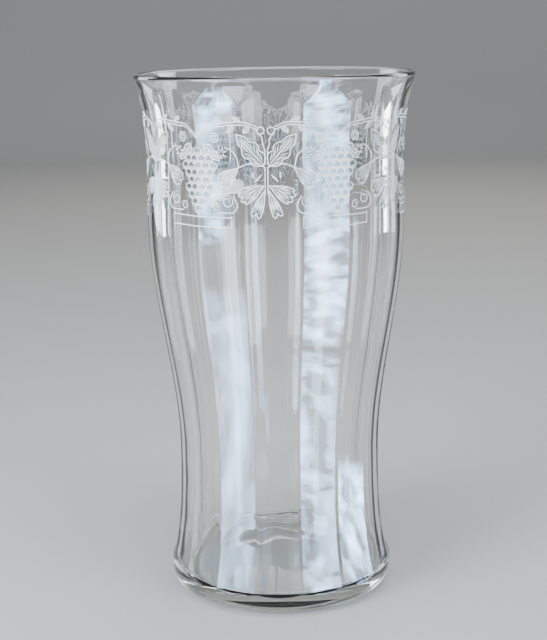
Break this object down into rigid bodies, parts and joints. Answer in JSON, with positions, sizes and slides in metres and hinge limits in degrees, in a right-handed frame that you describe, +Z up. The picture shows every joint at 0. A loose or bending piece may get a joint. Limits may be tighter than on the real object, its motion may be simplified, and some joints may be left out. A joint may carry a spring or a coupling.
{
  "type": "pint glass",
  "caption": "Waisted drinking glass with a flared round rim, flat panels all round, a thick base and an etched grapevine band.",
  "frame": {"origin": "centre of the resting plane, under the middle of the base", "axes": "+Z up along the glass's axis; the middle of one flat panel faces -Y"},
  "size_m": [0.0812, 0.0812, 0.155],
  "materials": {
    "clear_glass": "clear fire-polished glass with a frosted etched band under the rim"
  },
  "bodies": {
    "root": {"glass_body": "clear_glass"}
  },
  "joints": []
}
